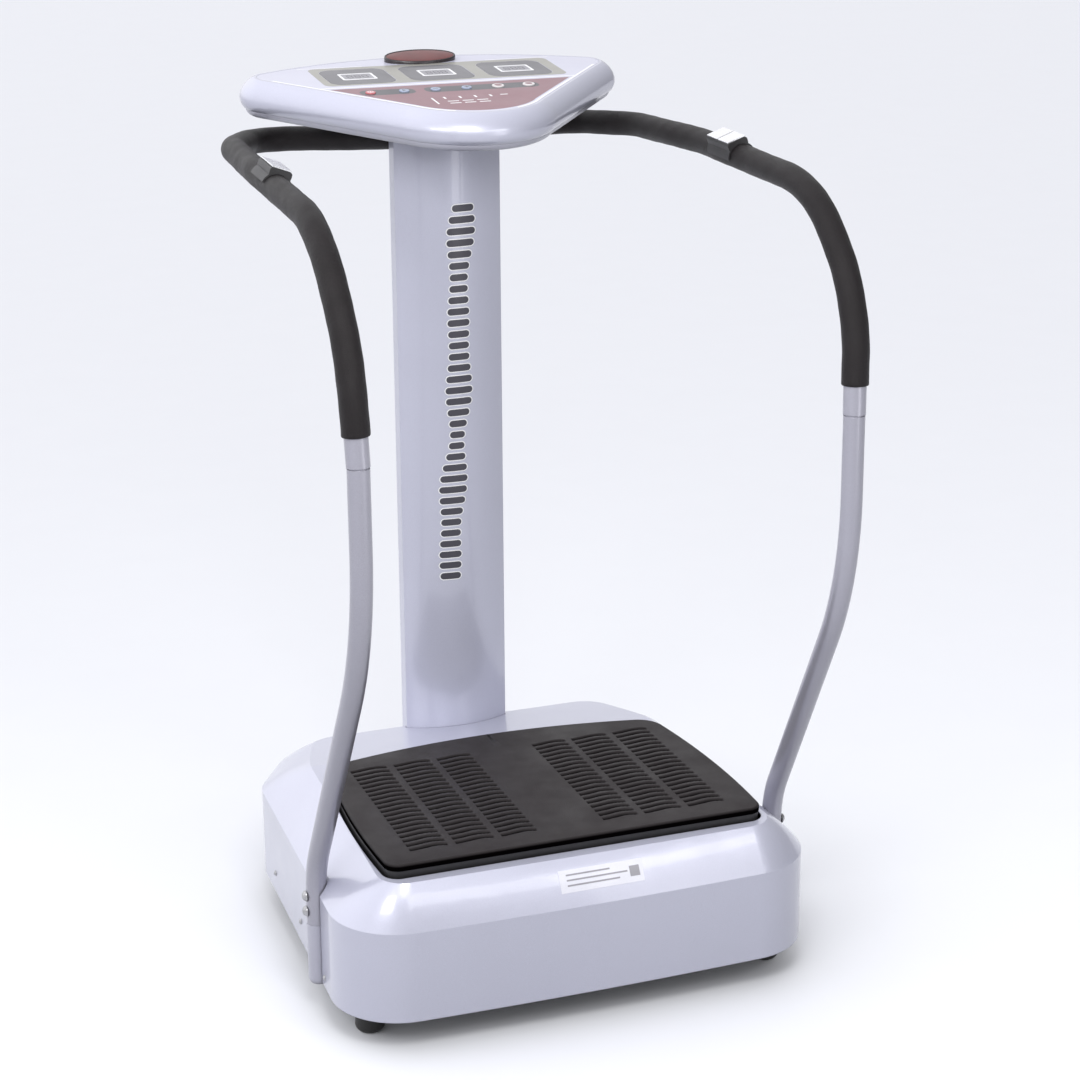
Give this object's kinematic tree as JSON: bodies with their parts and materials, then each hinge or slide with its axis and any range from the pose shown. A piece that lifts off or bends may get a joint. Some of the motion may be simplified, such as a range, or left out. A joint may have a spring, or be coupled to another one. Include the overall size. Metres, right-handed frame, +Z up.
{
  "type": "vibration plate",
  "caption": "Standing vibration plate: rocking ribbed platform on a silver base, column with shield-shaped console, and two foam-covered handlebars with pulse sensors.",
  "frame": {"origin": "on the floor, under the middle of the machine's overall box", "axes": "+X to the user's right, +Y from the user towards the column, +Z up"},
  "size_m": [0.7084, 0.8152, 1.2033],
  "materials": {
    "silver_paint": "glossy metallic silver paint",
    "silver_tube": "satin silver powder coat",
    "silver_plastic": "painted plastic",
    "zinc_screw": "zinc plated",
    "black_steel": "black powder coat",
    "black_rubber": "matt",
    "mat_rubber": "satin ribbed rubber",
    "belt_rubber": "matt",
    "foam": "closed cell foam",
    "cast_block": "machined casting",
    "bright_steel": "ground steel",
    "pulley_alloy": "machined",
    "motor_alloy": "die cast",
    "board_green": "circuit board",
    "board_parts": "electronic parts",
    "black_plastic": "moulded",
    "cable_sheath": "soft sheath",
    "chrome_pad": "polished",
    "panel_print": "printed film",
    "smoked_window": "smoked acrylic",
    "badge_red": "domed resin",
    "rocker_red": "gloss",
    "key_red": "soft touch",
    "key_blue": "soft touch",
    "key_ring": "soft touch"
  },
  "bodies": {
    "base": {"base_cover": "silver_paint", "cover_screws": "zinc_screw", "bottom_pan": "black_steel", "rubber_feet": "black_rubber", "foot_studs": "zinc_screw", "frame_side_rails": "black_steel", "frame_cross_members": "black_steel", "bearing_blocks": "cast_block", "drive_belt": "belt_rubber", "motor_stator": "motor_alloy", "motor_end_bells": "motor_alloy", "motor_cradle": "black_steel", "control_board": "board_green", "board_components": "board_parts", "power_inlet": "black_plastic", "switch_bezel": "black_plastic", "column_front_shell": "silver_paint", "column_rear_cover": "silver_paint", "column_post": "black_steel", "column_bolts": "zinc_screw", "cable_harness": "cable_sheath", "handlebar": "silver_tube", "foam_grip_right": "foam", "foam_grip_left": "foam", "lower_tube_right": "silver_tube", "lower_tube_left": "silver_tube", "tube_end_sleeves": "silver_plastic", "tube_bolts": "zinc_screw", "bar_saddles": "black_plastic", "sensor_housings": "black_plastic", "sensor_pads": "chrome_pad", "console_top_shell": "silver_paint", "console_bottom_shell": "silver_plastic", "panel_overlay": "panel_print", "display_windows": "smoked_window", "console_circuit_board": "board_green", "console_board_components": "board_parts", "oval_badge": "badge_red"},
    "platform": {"rubber_mat": "mat_rubber", "platform_tray": "black_plastic", "platform_plate": "black_steel", "platform_hangers": "black_steel", "pivot_shaft": "bright_steel", "rod_pins": "bright_steel"},
    "rod_left": {"rod_left": "cast_block"},
    "rod_right": {"rod_right": "cast_block"},
    "crank": {"crankshaft": "bright_steel", "eccentric_discs": "bright_steel", "eccentric_bearings": "bright_steel", "driven_pulley": "pulley_alloy"},
    "motor_rotor": {"motor_rotor": "bright_steel", "motor_pulley": "pulley_alloy"},
    "power_rocker": {"power_rocker": "rocker_red"},
    "key_power": {"key_power": "key_red"},
    "key_start": {"key_start": "key_blue"},
    "key_slower": {"key_slower": "key_blue"},
    "key_faster": {"key_faster": "key_blue"},
    "key_mode": {"key_mode": "key_ring"},
    "key_time": {"key_time": "key_ring"}
  },
  "joints": [
    {"name": "platform_rock", "type": "hinge", "parent": "base", "child": "platform", "pos_m": [0, -0.09542, 0.168], "axis": [0, 1, 0], "range_deg": [-1.15, 1.15]},
    {"name": "rod_left_swing", "type": "hinge", "parent": "platform", "child": "rod_left", "pos_m": [-0.165, -0.02542, 0.176], "axis": [0, 1, 0], "range_deg": [-1.2, 1.2]},
    {"name": "rod_right_swing", "type": "hinge", "parent": "platform", "child": "rod_right", "pos_m": [0.165, -0.02542, 0.176], "axis": [0, 1, 0], "range_deg": [-1.2, 1.2]},
    {"name": "crank_spin", "type": "hinge", "parent": "base", "child": "crank", "pos_m": [0, -0.02542, 0.108], "axis": [1, 0, 0], "continuous": true},
    {"name": "motor_spin", "type": "hinge", "parent": "base", "child": "motor_rotor", "pos_m": [0, 0.15458, 0.12], "axis": [1, 0, 0], "continuous": true},
    {"name": "rocker_tilt", "type": "hinge", "parent": "base", "child": "power_rocker", "pos_m": [0.096, 0.29958, 0.092], "axis": [1, 0, 0], "range_deg": [-10, 10]},
    {"name": "key_power_press", "type": "slide", "parent": "base", "child": "key_power", "axis": [0, 0.1045, -0.9945], "range_m": [0, 0.0008], "stiffness_N_per_m": 500},
    {"name": "key_start_press", "type": "slide", "parent": "base", "child": "key_start", "axis": [0, 0.1045, -0.9945], "range_m": [0, 0.0008], "stiffness_N_per_m": 500},
    {"name": "key_slower_press", "type": "slide", "parent": "base", "child": "key_slower", "axis": [0, 0.1045, -0.9945], "range_m": [0, 0.0008], "stiffness_N_per_m": 500},
    {"name": "key_faster_press", "type": "slide", "parent": "base", "child": "key_faster", "axis": [0, 0.1045, -0.9945], "range_m": [0, 0.0008], "stiffness_N_per_m": 500},
    {"name": "key_mode_press", "type": "slide", "parent": "base", "child": "key_mode", "axis": [0, 0.1045, -0.9945], "range_m": [0, 0.0008], "stiffness_N_per_m": 500},
    {"name": "key_time_press", "type": "slide", "parent": "base", "child": "key_time", "axis": [0, 0.1045, -0.9945], "range_m": [0, 0.0008], "stiffness_N_per_m": 500}
  ],
  "couplings": [
    {"joint": "rod_left_swing", "follows": "platform_rock", "ratio": -1},
    {"joint": "rod_right_swing", "follows": "platform_rock", "ratio": -1},
    {"joint": "motor_spin", "follows": "crank_spin", "ratio": 2.5}
  ]
}
